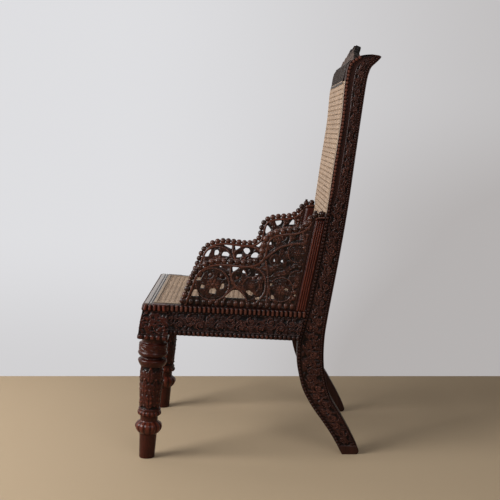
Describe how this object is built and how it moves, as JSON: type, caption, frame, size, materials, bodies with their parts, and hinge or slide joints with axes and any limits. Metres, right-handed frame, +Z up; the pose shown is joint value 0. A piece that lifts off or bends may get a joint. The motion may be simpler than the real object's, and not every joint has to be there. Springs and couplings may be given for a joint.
{
  "type": "slipper chair",
  "caption": "Low carved hardwood chair with a caned seat, a tall raked caned back, pierced scroll arms edged with beads, turned front legs and sabre rear legs.",
  "frame": {"origin": "centre of the footprint, on the floor under the middle of the overall box", "axes": "+Z up, -Y towards the front of the seat, +X to the sitter's left"},
  "size_m": [0.5468, 0.6295, 1.0768],
  "materials": {
    "dark_wood": "polished, very dark reddish brown",
    "red_wood": "polished, dark red brown",
    "peg_wood": "plain",
    "cane": "woven rattan, satin",
    "cane_binding": "rattan strip, satin"
  },
  "bodies": {
    "root": {"front_leg_left": "dark_wood", "front_leg_right": "dark_wood", "rear_post_left": "dark_wood", "rear_post_right": "dark_wood", "front_rail": "dark_wood", "rear_rail": "dark_wood", "side_rail_left": "dark_wood", "side_rail_right": "dark_wood", "crest_rail": "dark_wood", "cresting": "dark_wood", "lower_back_rail": "dark_wood", "arm_panel_left": "dark_wood", "arm_panel_right": "dark_wood", "arm_batten_left": "red_wood", "arm_batten_right": "red_wood", "seat_cane": "cane", "seat_binding": "cane_binding", "back_cane": "cane", "back_binding": "cane_binding", "joint_pegs": "peg_wood", "arm_dowels": "peg_wood", "batten_dowels": "peg_wood", "cresting_dowels": "peg_wood"}
  },
  "joints": []
}
